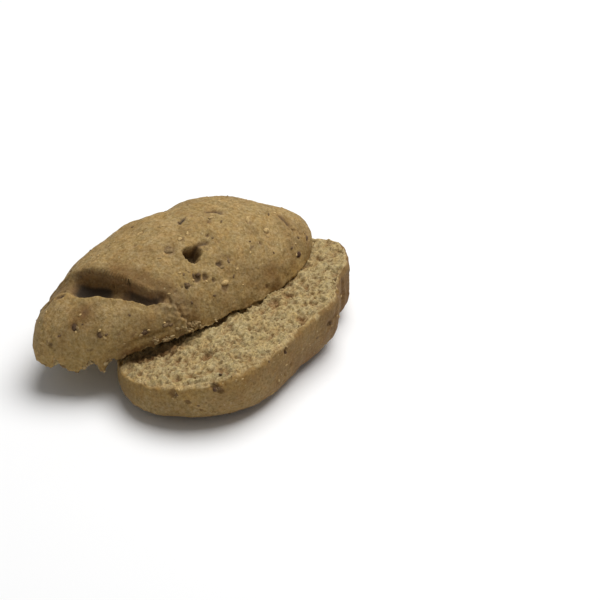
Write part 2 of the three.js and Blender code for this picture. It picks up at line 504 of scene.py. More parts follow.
def under_front_rim(shape, points):
    """How near each point of the lower cut face is, from above, to the raised part of the upper front rim."""
    angle = np.radians(np.linspace(*GAP_FROM_TO, 7))
    x, y = outline(angle, shape.upper_half_length, shape.upper_half_width, UPPER_SQUARENESS, UPPER_SWELLS)
    rim = upper_placed(np.stack([x, y, np.zeros_like(x)], axis=-1)) * (1, 1, 0)
    apart, way = path_distance(points * (1, 1, 0), rim / MM)
    apart = apart + 1.5 * MM * smooth_noise(points, 2.6 * MM, 26)
    apart = apart + 0.8 * MM * smooth_noise(points, 1.2 * MM, 27)
    return bell(apart, GAP_REACH) * smooth_step(0.02, 0.3, way) * smooth_step(1, 0.7, way)


def lower_crust(shape, share, angle, crust, out, fray, ragged):
    """The crust sheet with its lumps, wrinkles, pleats, pits and frayed rim, and its attributes, with painted
    shade in its pits and folds and at its right end, and painted light at its left front.
    """
    base = smooth_step(0.0, 2.5 * MM, crust[..., 2])
    right_end = towards(angle, -55, 34)
    pleats = layered_noise(crust * (1, 1, 0.22), 4.2 * MM, 2, 14)
    lumps = 0.45 * MM * layered_noise(crust, 17 * MM, 3, 11)
    wrinkles = 0.16 * MM * layered_noise(crust, 2.6 * MM, 3, 12)
    pits, pit_shade = marks(crust, LOWER_SIDE_PITS)
    small, small_shade = scattered_pits(crust, 13)
    folds, fold_shade = cracks(crust, LOWER_PLEATS, PLEAT_WIDTH, PLEAT_DEPTH)
    rise = lumps + wrinkles + (0.12 + 0.45 * right_end) * MM * pleats
    rise = rise * (0.15 + 0.85 * base) - (pits + small + folds) * base
    crust = crust + out * rise[..., None]
    crust[..., 2] += ragged * smooth_step(0.9, 1.0, share)
    crust -= out * (RIM_SET_BACK * smooth_step(0.965, 1.0, share))[..., None]
    crust[..., 2] = np.maximum(crust[..., 2], 0)
    up = crust[..., 2] / lower_face_height(shape, crust[..., 0], crust[..., 1])
    golden = smooth_step(0.55, 0.85, up + 0.12 * layered_noise(crust, 5 * MM, 2, 17))
    # Painted light: paler towards the left front. The noise is the crust's own uneven browning.
    baked = 0.55 - 0.4 * towards(angle, -172, 24) + 0.3 * layered_noise(crust, 9 * MM, 2, 18)
    # Darker and browner at the right end: partly its pleats' own brown, partly painted shade.
    baked = baked + right_end * (0.6 + 0.4 * smooth_step(0.0, 0.8, pleats))
    # Painted shade low on the right end; with the pits and folds it makes the painted shade.
    end_shade = right_end * (0.32 + 0.3 * smooth_step(0.0, 0.7, pleats)) * smooth_step(0.9, 0.5, up)
    shade = np.maximum.reduce([pit_shade, end_shade, small_shade, 0.6 * fold_shade])
    skin = smooth_step(1.0, 0.975, share + 0.016 * fray + 0.024 * smooth_noise(crust, 3.2 * MM, 19))
    return with_values(crust, crust=skin, baked=baked, golden=golden, hollow=0.7 * shade)


def lower_crumb(shape, share, crumb, out, ragged):
    """The cut face with its tufts, holes and the dip under the upper half's front rim, and its attributes:
    painted shade in the pores and holes, and a painted shadow under the front rim.
    """
    height, hollow = crumb_relief(crumb, 21)
    holes, hole_shade = marks(crumb, CRUMB_PITS)
    fade = smooth_step(1.0, 0.975, share)
    crumb = crumb - out * (RIM_SET_BACK * smooth_step(0.93, 1.0, share))[..., None]
    gap = under_front_rim(shape, crumb)
    crumb[..., 2] += (height * (1 + 0.6 * gap) - holes - GAP_DEPTH * gap) * fade + ragged * (1 - fade)
    edge = smooth_step(0.975, 1.0, share + 0.02 * smooth_noise(crumb, 2.4 * MM, 20))
    # Painted shade in the pores and holes, and a painted shadow under the upper half's front rim.
    shade = np.maximum.reduce([hollow, hole_shade, 0.3 + 0.7 * gap])
    return with_values(crumb, hollow=shade, golden=0.7 * edge)


def lower_half(shape):
    """Rows and faces of the detailed lower half, in its own place."""
    share, angle, crust, crumb = lower_plain(shape)
    out = normals(crust) * -1
    fray = smooth_noise(crust, 1.7 * MM, 15)
    ragged = 0.45 * MM * fray + 0.4 * MM * smooth_noise(crust, 4.0 * MM, 16)
    crust_rows = lower_crust(shape, share, angle, crust, out, fray, ragged)
    return join_sheets(crust_rows, lower_crumb(shape, share, crumb, out, ragged), False)


# ---- upper half ----

# The rim's outline, and the dome's profile down to it: turned under all round but sloped at the front.
UPPER_SQUARENESS = 1.96
UPPER_DOME_SQUARENESS = 1.9
UPPER_SIDE_TURN_UNDER = 100
UPPER_FRONT_TURN = 76
UPPER_FRONT = (-78, 42)
UPPER_CRUMB_SAG = 2.0 * MM
TORN_END_DROP = 3.3 * MM
TORN_END_REACH = 18 * MM
UPPER_SWELLS = ((-50, 18, 0.017), (5, 22, -0.046), (180, 17, 0.034))
# Where the upper half lies on the lower one, turned and tilted in degrees.
UPPER_PLACE = np.array([-0.7, 26.3, 17.2]) * MM
UPPER_TURN = -17.3
UPPER_TILT_BACK = 6.9
UPPER_TILT_LEFT = 2.4

# Swells of the dome: x, y, reach along and across (millimetres), heading (degrees), height (millimetres).
DOME_SWELLS = (
    (16, 12, 24, 9, -8, 1.5),
    (7, 15, 5.5, 7, 0, -2.0),
    (-9.5, 17, 5, 6, 0, 1.1),
    (-41, 18, 7, 6, 40, -2.4),
    (46, 4, 9, 7, -20, -1.9),
    (1.9, -10.1, 3.0, 2.2, 10, 0.5),
    (10, -26, 16, 5, 0, 0.8),
)
# The torn rim: direction and spread (degrees), how far it goes up and out (millimetres).
RIM_TEARS = (
    (-168, 2.3, 4.6, 0.2),
    (-156, 5.5, -1.7, 0.6),
    (-149.5, 1.8, 1.7, -0.3),
    (-144.6, 1.1, -3.2, 0.6),
    (-142.9, 0.9, -2.8, 0.6),
    (-139.5, 1.8, 0.7, -0.2),
    (176, 9.0, 1.3, 1.2),
    (-66, 19.0, -0.9, 0.0),
    (-88, 4.0, 0.9, -0.5),
)
# Pits: x, y, z, radius, depth, in millimetres.
UPPER_PITS = (
    (7.9, -3.2, 29.1, 0.9, 0.6),
    (-23.9, 7.5, 26.2, 0.9, 0.6),
    (-18.5, -3.0, 27.7, 1.1, 0.5),
    (-33.4, -8.0, 22.2, 0.6, 0.8),
    (-59.8, -4.9, 5.2, 1.1, 0.5),
    (7.0, -14.2, 25.7, 1.0, 0.8),
    (3.8, -24.1, 18.2, 1.6, 1.0),
    (-6.6, -24.7, 17.1, 1.9, 1.0),
    (-3.7, -25.5, 16.4, 1.7, 1.0),
    (43.5, -17.1, 13.9, 0.7, 1.2),
    (24.8, -21.8, 17.6, 1.0, 0.5),
    (11.3, -9.4, 27.4, 0.8, 0.7),
    (-1.2, -26.8, 14.6, 0.8, 0.7),
    (19.8, -28.7, 3.3, 0.9, 0.6),
    (-12.6, -25.4, 15.9, 1.0, 0.7),
    (-14.0, -24.9, 16.3, 0.8, 0.6),
    (-52.1, -9.9, 11.0, 1.7, 0.5),
    (-47.0, -17.2, 8.5, 1.4, 0.5),
    (-33.3, -25.1, 5.6, 1.7, 0.5),
    (-24.7, -27.3, 6.3, 1.4, 0.5),
    (-47.1, -10.2, 14.2, 1.8, 0.15),
    (-10.3, -13.4, 25.7, 2.5, 0.35),
    (-12.1, 1.9, 29.0, 1.8, 0.2),
    (-3.7, -11.5, 27.1, 1.4, 0.2),
    (26.2, -13.6, 23.4, 1.6, 0.2),
    (31.0, -18.3, 19.1, 1.8, 0.25),
    (1.9, -28.9, 10.6, 2.0, 0.3),
)
# Browner spots: x, y, z, reach in millimetres, and how much browner.
BAKED_SPOTS = (
    (-47.2, -10.0, 13.6, 4.5, 0.9),
    (-50.5, -7.5, 13.8, 4.0, 0.4),
    (-42.5, -13.2, 13.8, 4.0, 0.3),
    (-20.0, -26.3, 12.0, 5.0, 0.9),
    (-14.5, -28.0, 9.0, 5.0, 0.4),
    (8.0, -29.5, 5.0, 7.0, 0.4),
    (-30.0, -25.5, 8.0, 6.0, 0.3),
)
# Paths in the crust, as x, y, z in millimetres.
UPPER_CRACKS = (
    ((-53.4, 6.1, 13.2), (-51.7, 5.4, 14.5), (-50.0, 5.0, 15.6)),
    ((-48.4, 4.0, 16.8), (-45.6, 4.4, 18.2)),
    ((14.8, -3.2, 28.4), (16.7, -4.4, 27.9), (18.7, -6.7, 27.2)),
    ((42.2, -11.6, 18.5), (42.4, -13.8, 17.2), (43.0, -15.6, 15.6)),
    ((1.7, -4.1, 29.2), (4.0, -3.0, 29.3)),
    ((-47.8, 0.8, 17.1), (-49.3, 2.6, 16.4)),
)
UPPER_SCRATCHES = (
    ((7.1, -22.2, 20.1), (8.4, -23.3, 18.9), (9.3, -24.3, 17.6)),
    ((-11.2, -24.9, 16.5), (-9.6, -26.1, 15.0)),
    ((12.1, -8.9, 27.4), (13.4, -5.0, 28.2)),
    ((-38.4, -23.1, 5.6), (-36.2, -23.9, 6.6)),
    ((-42.1, -20.6, 7.2), (-40.1, -21.4, 8.5)),
    ((19.0, -23.1, 17.5), (21.8, -22.4, 17.6)),
    ((-52.0, -15.0, 3.2), (-50.2, -16.0, 3.6)),
    ((1.2, -18.0, 23.6), (3.1, -18.5, 23.3)),
)
TORN_PATCH = ((-23.0, -23.6, 15.0), (-19.9, -26.1, 12.0), (-18.9, -28.4, 6.0), (-17.5, -28.6, 1.8))
FISSURE = (
    (-24.0, -22.4, 16.6),
    (-21.4, -23.6, 15.4),
    (-20.3, -25.4, 13.4),
    (-18.4, -26.9, 10.4),
    (-18.6, -28.0, 7.2),
    (-16.6, -28.9, 4.0),
    (-17.0, -28.8, 1.0),
)
RIM_FOLD = (
    (-46.5, -19.2, 0.9),
    (-41.7, -21.9, 2.3),
    (-35.4, -24.5, 4.1),
    (-31.9, -25.7, 3.6),
    (-26.3, -27.2, 4.0),
)
SCORCHED = ((25.5, -27.8, 5.0), (31.9, -26.0, 6.5), (38.0, -23.9, 8.0))
BURST = ((-4.5, -17.2, 24.0), (-1.9, -17.9, 23.6), (-3.9, -19.2, 22.7))
BURST_TAIL = ((-0.5, -16.6, 24.7), (1.6, -16.1, 24.9), (4.0, -16.4, 24.6))
# How far the crust's details reach and how deep they go.
BURST_DRAW = 4.5 * MM
BURST_DEPTH = 6.5 * MM
TAIL_DEPTH = 1.0 * MM
TEAR_WIDTH = 0.75 * MM
FLAP_WIDTH = 1.5 * MM
TEAR_DEPTH = 0.8 * MM
CRACK_WIDTH = 0.7 * MM
CRACK_DEPTH = 0.9 * MM
SCRATCH_WIDTH = 0.35 * MM

# The crease: its middle, the way that it runs (degrees) and its depth.
CREASE_MIDDLE = np.array([-30.0, -8.0]) * MM
CREASE_HEADING = -64
CREASE_DEPTH = 8.3 * MM
# Where it starts to part, gapes, closes and narrows: from and to, in millimetres along it.
CREASE_PARTS = (-44, -25)
CREASE_GAPES = (-19, -9)
CREASE_CLOSES = (20.5, 12)
CREASE_NARROWS = (-12, 15)
# Where its profile is steep, and from how far away points are drawn in to there, in millimetres past its lip.
CREASE_STEEP = 4
CREASE_DRAW_REACH = 7.5
# Bells over s, the distance past its lip: place, reach and height, in millimetres.
LIP_JUT = (0.1, 0.6, 1.5)
WALL_UNDERCUT = (3.5, 2.0, 2.6)
LIP_LIFT = (-1.1, 1.2, 0.4)
SHELF = (11.0, 5.0, 1.9)


def upper_plain(shape):
    """The upper half's crust and crumb sheets before any detail, with the cut face at height 0."""
    share, angle = disc_grid()
    rim_x, rim_y = outline(
        angle, shape.upper_half_length, shape.upper_half_width, UPPER_SQUARENESS, UPPER_SWELLS
    )
    rim_z = -TORN_END_DROP * bell(rim_x + shape.upper_half_length, TORN_END_REACH)
    front = towards(angle, *UPPER_FRONT)
    under = np.array(side_profile(share, UPPER_DOME_SQUARENESS, UPPER_SIDE_TURN_UNDER))
    sloped = np.array(side_profile(share, UPPER_DOME_SQUARENESS, UPPER_FRONT_TURN))
    out, up = under + (sloped - under) * front
    crust = np.stack([rim_x * out, rim_y * out, rim_z * up**2 + shape.upper_height * (1 - up)], axis=-1)
    x, y = crust[..., 0], crust[..., 1]
    for at_x, at_y, along, across, heading, height in DOME_SWELLS:
        swell = oval(x, y, (at_x * MM, at_y * MM), (along * MM, across * MM), heading)
        crust[..., 2] += (1 - share**6) * height * MM * swell
    sag = UPPER_CRUMB_SAG * (1 - share**2)
    return share, angle, crust, np.stack([rim_x * share, rim_y * share, rim_z * share**2 - sag], axis=-1)


def bell_at(s, place, reach, height):
    return height * bell(s - place, reach)


def crease_place(crust):
    """Millimetres along the crease and past its lip, which wanders, and the level direction past the lip."""
    heading = np.radians(CREASE_HEADING)
    ahead = np.array([np.cos(heading), np.sin(heading)])
    past_way = np.array([np.sin(heading), -np.cos(heading)])
    plan = crust[..., :2] - CREASE_MIDDLE
    along, past = plan @ ahead / MM, plan @ past_way / MM
    wander = 1.0 + 1.5 * bell(along - 3, 8) - 3.0 * smooth_step(12, 18, along)
    wander = wander + 0.5 * smooth_noise(crust, 6 * MM, 34)
    return along, past - wander, past_way


def crease_shade_and_tints(along, past, s, opening):
    """The painted shade of the crease's wall, floor and slot, how golden its far ridge is, and the lip: a
    thin painted shade along its edge and a browner band above it.
    """
    right = smooth_step(-4, 2, along)
    wall = smooth_step(0.0, 0.2, s) * smooth_step(7.0, 5.0, s) * smooth_step(0.1, 0.5, opening)
    wall = wall * (0.85 + 0.15 * smooth_step(0.8, 4.4, s))
    wall = wall * (0.75 + 0.15 * smooth_step(-14, 0, along) + 0.15 * smooth_step(2, 10, along))
    rises = smooth_step(7.2, 5.8, s)
    floor = smooth_step(2.2, 3.6, s) * rises * smooth_step(0.2, 0.7, opening)
    floor = floor * (1 - 0.7 * bell(along - 0.6, 2.0)) * (1 - 0.25 * right)
    slot = smooth_step(1.6, 3.0, s) * rises * smooth_step(2.5, 6.0, along) * smooth_step(19, 14, along)
    ridge = bell(s - 9.3, 1.6) * opening
    band = bell(past + 2.2, 3.2) * smooth_step(-8, 2, along) * smooth_step(24, 14, along)
    # The lip: a thin painted shade along its edge, and a browner band above its right part.
    lip = np.maximum(0.25 * bell(s + 0.5, 0.5) * opening, 0.95 * band * smooth_step(0.4, -0.3, s))
    return SimpleNamespace(wall=wall, floor=np.maximum(floor, 0.9 * slot), ridge=ridge, lip=lip)


def with_crease(crust):
    """The crust with the deep crease across its left end, and the crease's painted shade and tints.

    The crease is a profile over s, the distance past its lip. The lip juts out by a bell, the wall below it
    goes back under by a wider one, and the depth goes down in two smooth steps and comes back up in one, to
    a shelf. Before that the points are drawn in along s to where the profile is steep, by half their
    distance from there times a bell. The edge beyond the floor is frayed by noise.
    """
    along, past, past_way = crease_place(crust)
    opening = smooth_step(*CREASE_CLOSES, along) * (0.25 + 0.75 * smooth_step(*CREASE_GAPES, along))
    opening = opening * smooth_step(*CREASE_PARTS, along)
    narrowing = 1.15 - 0.85 * smooth_step(*CREASE_NARROWS, along)
    s = past / narrowing
    drawn = 0.5 * (s - CREASE_STEEP) * bell(s - CREASE_STEEP, CREASE_DRAW_REACH) * opening
    s = s - drawn
    juts = bell_at(s, *LIP_JUT) - bell_at(s, *WALL_UNDERCUT)
    deep = 0.35 * smooth_step(0.0, 0.9, s) + 0.65 * smooth_step(0.5, 4.3, s)
    deep = deep * smooth_step(10.0, 5.2, s) * CREASE_DEPTH
    shelf = MM * bell_at(s, *SHELF) * (1 - 0.45 * bell(along, 7))
    lift = MM * bell_at(s, *LIP_LIFT)
    slope = normals(crust)
    level = (slope[..., :2] @ past_way) / np.maximum(slope[..., 2], 0.35)
    move = (juts * opening * narrowing - drawn * narrowing) * MM
    crust = crust.copy()
    crust[..., :2] += move[..., None] * past_way
    crust[..., 2] += -level * move + opening * (lift - shelf - deep * (0.35 + 0.65 * narrowing))
    frayed = bell(s - 8.0, 2.2) * opening * MM
    crust[..., 2] += frayed * (
        0.4 * smooth_noise(crust, 2.4 * MM, 51) + 0.35 * smooth_noise(crust, 1.2 * MM, 52)
    )
    return crust, crease_shade_and_tints(along, past, s, opening)


def with_torn_rim(share, angle, points, decay):
    """A sheet with its rim torn: each tear is a bell of the direction, dying away inwards."""
    points = points.copy()
    level = np.stack([np.cos(angle), np.sin(angle)], axis=-1)
    for direction, spread, height, outward in RIM_TEARS:
        near = towards(angle, direction, spread) * share**decay
        points[..., 2] += near * height * MM
        points[..., :2] += (near * outward * MM)[..., None] * level
    return points


def dome_features(plain):
    """How much of the burst hole, the torn patch and the other single features is at each point, 0 to 1."""
    bent = drifted(plain, 0.9 * MM, 2.4 * MM, 45)
    fissure = on_sheet(plain, FISSURE)

    def apart(path):
        return path_distance(plain, on_sheet(plain, path))[0]

    def beside_fissure(shift):
        return path_distance(bent + np.array(shift) * MM, fissure)[0]

    corners = on_sheet(plain, BURST)
    hole = path_distance(plain, np.concatenate([corners, corners[:1]]))[0]
    burst = smooth_step(2.5 * MM, 1.6 * MM, hole + 0.25 * MM * smooth_noise(plain, 1.6 * MM, 35))
    lit_side = smooth_step(-1.5 * MM, 2.0 * MM, plain[..., 0] - corners[:, 0].mean() * MM)
    torn = apart(TORN_PATCH) + 1.5 * MM * smooth_noise(plain, 3 * MM, 36)
    scorched = apart(SCORCHED) + 2 * MM * smooth_noise(plain, 4 * MM, 49)
    return SimpleNamespace(
        burst=burst,
        hole_shade=burst * (1 - 0.35 * lit_side),
        tail=bell(apart(BURST_TAIL), 0.8 * MM) * (1 - burst),
        torn=smooth_step(6.5 * MM, 2.0 * MM, torn),
        fold=bell(apart(RIM_FOLD), 0.9 * MM),
        split=bell(beside_fissure((0, 0, 0)), TEAR_WIDTH),
        flap=bell(beside_fissure((1.6, 0.6, 0)), FLAP_WIDTH) * (plain[..., 2] > 0),
        beside=bell(beside_fissure((-2.4, -0.6, 0)), 2.4 * MM),
        scorched=smooth_step(8 * MM, 2 * MM, scorched),
    )


def ragged_rim(crust, angle):
    """How far the upper half's rim stands up or hangs down, most at the front and on the torn left."""
    front = towards(angle, -121, 20)
    left = towards(angle, -158, 20)
    ragged = smooth_noise(crust, 1.3 * MM, 39) * (0.3 + 0.9 * front) + 0.35 * smooth_noise(crust, 4 * MM, 40)
    ragged += (0.3 + 0.4 * left) * smooth_noise(crust, 0.8 * MM, 48)
    return (ragged + 0.5 * left * smooth_noise(crust, 1.6 * MM, 50)) * MM


def upper_baked_and_painted_light(shape, share, angle, plain, crust, dome, shade_and_tints, toasted):
    """How much the upper crust is baked: most beside the tears, on the crease's lip and at the spots.
    Painted shade on the crease's wall and along the lip's edge, and painted light low on the left end, are
    mixed in.
    """
    low = smooth_step(0.55, 0.10, plain[..., 2] / shape.upper_height)
    cloud = layered_noise(crust, 8 * MM, 3, 42)
    baked = 0.1 + soft_spots(plain, BAKED_SPOTS) + 0.05 * toasted + 0.35 * dome.scorched + 0.4 * cloud
    # Darker low on the right end; painted light, paler, low on the left end.
    baked = baked + 0.12 * low * towards(angle, -58, 30) - 0.35 * low * towards(angle, -178, 22)
    baked = baked + 0.7 * smooth_step(0.955, 0.975, share) * towards(angle, -127, 14)
    # Browner beside the fissure; the lip's painted shade and browner band; painted shade on the crease's
    # wall.
    baked = baked + 0.6 * dome.beside + 1.1 * shade_and_tints.lip + 0.6 * shade_and_tints.wall
    return baked + 0.5 * dome.torn * smooth_step(-0.2, 0.5, smooth_noise(crust, 1.8 * MM, 43))


def upper_half(shape):
    """Rows and faces of the detailed upper half, in its own place."""
    share, angle, crust, crumb = upper_plain(shape)
    plain = drawn_in(crust, normals(crust), on_sheet(crust, BURST), BURST_DRAW, 0.5)
    dome = dome_features(plain)
    crust, shade_and_tints = with_crease(plain)
    pits, pit_shade = marks(plain, UPPER_PITS)
    lines, line_shade = cracks(plain, UPPER_CRACKS, CRACK_WIDTH, CRACK_DEPTH)
    scratches, scratch_shade = cracks(plain, UPPER_SCRATCHES, SCRATCH_WIDTH, SCRATCH_WIDTH)
    small, small_shade = scattered_pits(crust, 33)
    rise = 0.40 * MM * layered_noise(crust, 16 * MM, 3, 31)
    rise += 0.15 * MM * layered_noise(crust, 3.0 * MM, 3, 32)
    rough = 0.22 * smooth_noise(crust, 2.6 * MM, 37) + 0.4 * smooth_noise(crust, 1.1 * MM, 38) - 0.35
    rise += dome.torn * MM * rough - pits - lines - scratches - small - BURST_DEPTH * dome.burst
    rise += TEAR_DEPTH * (dome.flap - dome.split - dome.fold) - TAIL_DEPTH * dome.tail
    rise += MM * (0.16 + 0.45 * dome.scorched) * smooth_noise(crust, 3.6 * MM, 46) * (1 - dome.burst)
    crust = crust + normals(crust) * rise[..., None]
    crust = with_torn_rim(share, angle, crust, 16)
    ragged = ragged_rim(crust, angle)
    crust[..., 2] += ragged * smooth_step(0.93, 1.0, share)
    height, hollow = crumb_relief(crumb, 41)
    fade = smooth_step(1.0, 0.96, share)
    crumb = with_torn_rim(share, angle, crumb, 10)
    crumb[..., 2] += ragged * (1 - fade) - height * 0.5 * fade
    up = plain[..., 2] / shape.upper_height + 0.06 * layered_noise(crust, 6 * MM, 2, 47)
    toasted = smooth_step(0.34, 0.08, up) * towards(angle, -92, 28)
    baked = upper_baked_and_painted_light(shape, share, angle, plain, crust, dome, shade_and_tints, toasted)
    golden = 0.25 * smooth_step(0.0, 0.8, layered_noise(crust, 11 * MM, 2, 44)) + 0.5 * shade_and_tints.ridge
    golden = golden + 0.3 * shade_and_tints.lip + 0.7 * smooth_step(0.35, 0.0, up) * (1 - toasted)
    # Painted shade in pits, cracks, scratches, the burst hole and its tail, the fissure, and the crease's
    # wall, floor and slot; the crumb keeps its own painted shade in its pores.
    holes = [pit_shade, line_shade, small_shade, dome.hole_shade + 0.8 * dome.tail, shade_and_tints.floor]
    shade = np.maximum.reduce([*holes, 0.6 * scratch_shade, 0.42 * shade_and_tints.wall, 0.3 * dome.split])
    crust_rows = with_values(crust, crust=1.0, baked=baked, golden=golden, hollow=shade, torn=dome.torn)
    rows, faces = join_sheets(crust_rows, with_values(crumb, hollow=hollow), True)
    rows[:, :3] = upper_placed(rows[:, :3])
    return rows, faces


def turn_about(axis, degrees):
    """The matrix that turns about X (0), Y (1) or Z (2) by the right-hand rule."""
    cos, sin = np.cos(np.radians(degrees)), np.sin(np.radians(degrees))
    a, b = (axis + 1) % 3, (axis + 2) % 3
    matrix = np.eye(3)
    matrix[a, a] = matrix[b, b] = cos
    matrix[a, b], matrix[b, a] = -sin, sin
    return matrix


def upper_placed(points):
    """Points of the upper half laid on the lower one: tilted left, then back, then turned and moved."""
    turn = turn_about(2, UPPER_TURN) @ turn_about(0, -UPPER_TILT_BACK) @ turn_about(1, -UPPER_TILT_LEFT)
    return points @ turn.T + UPPER_PLACE


def row_shift(shape):
    """From the lower half's own place to the frame's: the difference of their boxes' middles, level only."""
    _, _, crust, _ = lower_plain(shape)
    low, high = (np.array(corner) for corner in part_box("lower_half"))
    own = (crust.min(axis=(0, 1)) + crust.max(axis=(0, 1))) / 2
    return ((low + high) / 2 - own) * (1, 1, 0)


# ---- seeds and crumbs ----

# Seeds: x, y, z in their half's own place, half length, half width, half height (all in millimetres),
# turn about the crust's normal (degrees) and how dark they are, 0 to 1.
UPPER_SEEDS = (
    (-12.2, 2.1, 29.0, 1.8, 0.8, 0.6, -10, 0.05),
    (-4.2, -1.9, 29.4, 1.5, 0.6, 0.4, -15, 0.20),
    (-3.5, -11.1, 27.2, 1.2, 0.8, 0.6, 20, 0.05),
    (13.3, -7.4, 27.7, 1.4, 0.6, 0.4, 0, 0.30),
    (24.3, 1.2, 26.9, 1.0, 0.6, 0.3, 30, 0.20),
    (26.1, -13.2, 23.6, 1.8, 0.8, 0.5, 70, 0.00),
    (27.6, -12.2, 23.6, 0.9, 0.5, 0.3, 10, 0.05),
    (31.1, -17.8, 19.3, 1.5, 1.1, 0.9, 0, 0.05),
    (40.9, -10.1, 19.8, 0.8, 0.6, 0.3, 0, 0.10),
    (2.2, -28.5, 11.4, 1.9, 1.0, 0.9, 0, 0.00),
    (10.1, -26.6, 14.4, 0.8, 0.5, 0.3, 30, 0.05),
    (-12.1, -21.4, 20.2, 0.8, 0.5, 0.3, 0, 0.10),
    (-11.0, -22.1, 19.7, 0.7, 0.5, 0.3, 60, 0.70),
    (-10.3, -13.4, 25.7, 2.3, 1.1, 0.9, -20, 0.60),
    (-52.1, -9.9, 11.0, 1.5, 1.0, 0.6, 40, 0.95),
    (-52.9, -11.4, 10.0, 0.5, 0.4, 0.3, 40, 0.00),
    (-47.0, -17.2, 8.5, 1.2, 0.8, 0.5, 60, 0.90),
    (-33.3, -25.1, 5.6, 1.6, 1.0, 0.6, -10, 0.90),
    (-32.0, -25.6, 6.6, 0.6, 0.4, 0.4, 0, 0.00),
    (-24.7, -27.3, 6.3, 1.5, 0.8, 0.5, 0, 0.75),
    (49.6, -17.0, 7.8, 1.4, 0.8, 0.4, 80, 0.90),
    (41.2, -22.8, 5.4, 1.6, 1.2, 0.6, 0, 1.00),
    (-12.6, -25.2, 15.9, 1.4, 0.6, 0.4, -30, 0.80),
    (3.8, -24.1, 18.2, 1.1, 0.7, 0.3, 0, 0.60),
    (-6.6, -24.7, 17.1, 1.0, 0.8, 0.6, 40, 0.90),
)
LOWER_SEEDS = (
    (-41.6, -21.0, 20.8, 1.3, 0.6, 0.5, -10, 0.95),
    (-30.6, -8.4, 16.8, 1.5, 1.0, 0.5, 30, 0.45),
    (-47.9, -21.7, 18.4, 0.9, 0.9, 1.0, 0, 0.95),
    (-17.5, -30.9, 19.4, 0.8, 0.7, 1.3, 0, 0.95),
    (-53.8, -10.4, 15.4, 1.0, 0.7, 0.5, 0, 0.80),
    (-4.0, -19.6, 21.2, 0.5, 1.3, 0.5, 10, 0.85),
    (12.0, -30.2, 15.0, 0.7, 0.5, 0.7, 0, 0.85),
)


# Columns of a seed's row, and the shape of its mesh.
PLACE, SIZES, TURN, TONE = slice(0, 3), slice(3, 6), 6, 7
GRAIN_SIDES = 8
GRAIN_RINGS = 3
GRAIN_TAPER = 0.25
# A seed darker than this has smaller grains thrown around it, this many and this far.
DARK_TONE = 0.7
SATELLITES = 3
SATELLITE_THROW = 0.8
# Random seeds: half length, half width and half height from and to (millimetres), tones to choose from,
# and how high above the floor they start.
SMALL_SEED = ((0.45, 1.0), (0.3, 0.5), (0.2, 0.3))
SMALL_TONES = (0.0, 0.15, 0.4, 0.85)
SEEDS_ABOVE = 3 * MM
# Loose crumbs: how many, where they gather (direction, spread in degrees, chance), and the chance elsewhere.
CRUMB_COUNT = 140
CRUMB_CLUSTERS = ((-116, 3.5, 1.0), (-105, 2.5, 0.7), (-150, 14, 0.25))
CRUMB_CHANCE_ELSEWHERE = 0.01


def sheet_of(name, crumb_side):
    """Where the points of one sheet of a finished half are, and their normals."""
    mesh = bpy.data.objects[name].data
    points, upward = np.empty(len(mesh.vertices) * 3), np.empty(len(mesh.vertices) * 3)
    mesh.vertices.foreach_get("co", points)
    mesh.vertex_normals.foreach_get("vector", upward)
    crust_count = (CELLS + 1) ** 2
    pick = slice(crust_count, None) if crumb_side else slice(0, crust_count)
    return points.reshape(-1, 3)[pick], upward.reshape(-1, 3)[pick]


def grains(spots, upward, turns, sizes):
    """Points, faces and points per grain of small closed grains on a surface: ellipsoids narrowed at one end.

    Each is x = long cos(v) cos(u) (1 - taper cos(u)), y = wide cos(v) sin(u), z = high sin(v), with v from
    pole to pole, in a frame whose z is the surface's normal and whose x is turned about it.
    """
    turn = np.arange(GRAIN_SIDES) * 2 * np.pi / GRAIN_SIDES
    u, v = np.meshgrid(turn, np.linspace(-np.pi / 2, np.pi / 2, GRAIN_RINGS + 2)[1:-1])
    along = np.cos(v) * np.cos(u) * (1 - GRAIN_TAPER * np.cos(u))
    unit = np.stack([along, np.cos(v) * np.sin(u), np.sin(v)], axis=-1)
    unit = np.concatenate([unit.reshape(-1, 3), [[0, 0, -1], [0, 0, 1]]])
    ring = np.arange(GRAIN_RINGS * GRAIN_SIDES).reshape(GRAIN_RINGS, GRAIN_SIDES)
    after = np.roll(ring, -1, axis=1)
    sides = np.stack([ring[:-1], after[:-1], after[1:], ring[1:]], axis=-1).reshape(-1, 4)
    pole = np.full(GRAIN_SIDES, GRAIN_RINGS * GRAIN_SIDES)
    caps = np.concatenate([
        np.stack([pole, after[0], ring[0]], axis=-1),
        np.stack([pole + 1, ring[-1], after[-1]], axis=-1),
    ])
    heading = np.radians(turns)
    way = np.stack([np.cos(heading), np.sin(heading), np.zeros_like(heading)], axis=-1)
    across = np.cross(upward, way)
    across /= np.linalg.norm(across, axis=-1, keepdims=True)
    frame_of_each = np.stack([np.cross(across, upward), across, upward], axis=1)
    points = spots[:, None] + (unit[None] * sizes[:, None]) @ frame_of_each
    first = (np.arange(len(spots)) * len(unit))[:, None, None]
    faces = [(sides[None] + first).reshape(-1, 4), (caps[None] + first).reshape(-1, 3)]
    return points.reshape(-1, 3), faces, len(unit)


def place_grains(name, half, spots, upward, turns, sizes, tones, material):
    """A mesh of grains with their darkness as an attribute, riding on the roll."""
    points, face_sets, each = grains(spots, upward, turns, sizes * MM)
    thing = add_mesh(name, points, face_sets, {"tone": np.repeat(tones, each)})
    thing.data.materials.append(material)
    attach(thing, "root")
    return thing


def with_satellites(placed, random):
    """The listed seeds, each dark one with smaller grains thrown around it."""
    extra = placed[placed[:, TONE] > DARK_TONE].repeat(SATELLITES, axis=0)
    extra[:, PLACE] += random.normal(0, SATELLITE_THROW, (len(extra), 3)) * MM
    extra[:, SIZES] *= random.uniform(0.35, 0.7, (len(extra), 1))
    extra[:, TURN] = random.uniform(0, 360, len(extra))
    extra[:, TONE] = random.choice((0.0, 0.45, 0.8), len(extra))
    return np.concatenate([placed, extra])


